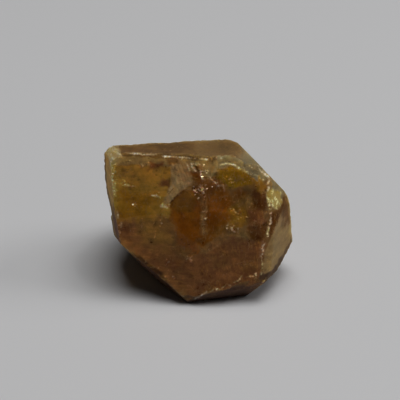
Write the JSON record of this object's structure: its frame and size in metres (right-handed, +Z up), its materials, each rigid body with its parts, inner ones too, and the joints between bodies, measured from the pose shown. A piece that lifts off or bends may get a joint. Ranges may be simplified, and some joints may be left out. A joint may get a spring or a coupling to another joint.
{
  "type": "grossular garnet crystal",
  "caption": "Grossular garnet crystal, translucent golden to dark brown, with smooth natural faces and one large rough break across its front.",
  "frame": {"origin": "middle of the bottom of the crystal's box, on the surface that it rests on", "axes": "+X to the right as seen from the front, -Y out of the broken front, +Z up"},
  "size_m": [0.0286, 0.023, 0.0228],
  "materials": {
    "garnet": "vitreous natural faces and a rippled, chipped break, cloudy brown inside"
  },
  "bodies": {
    "root": {"garnet_crystal": "garnet"}
  },
  "joints": []
}
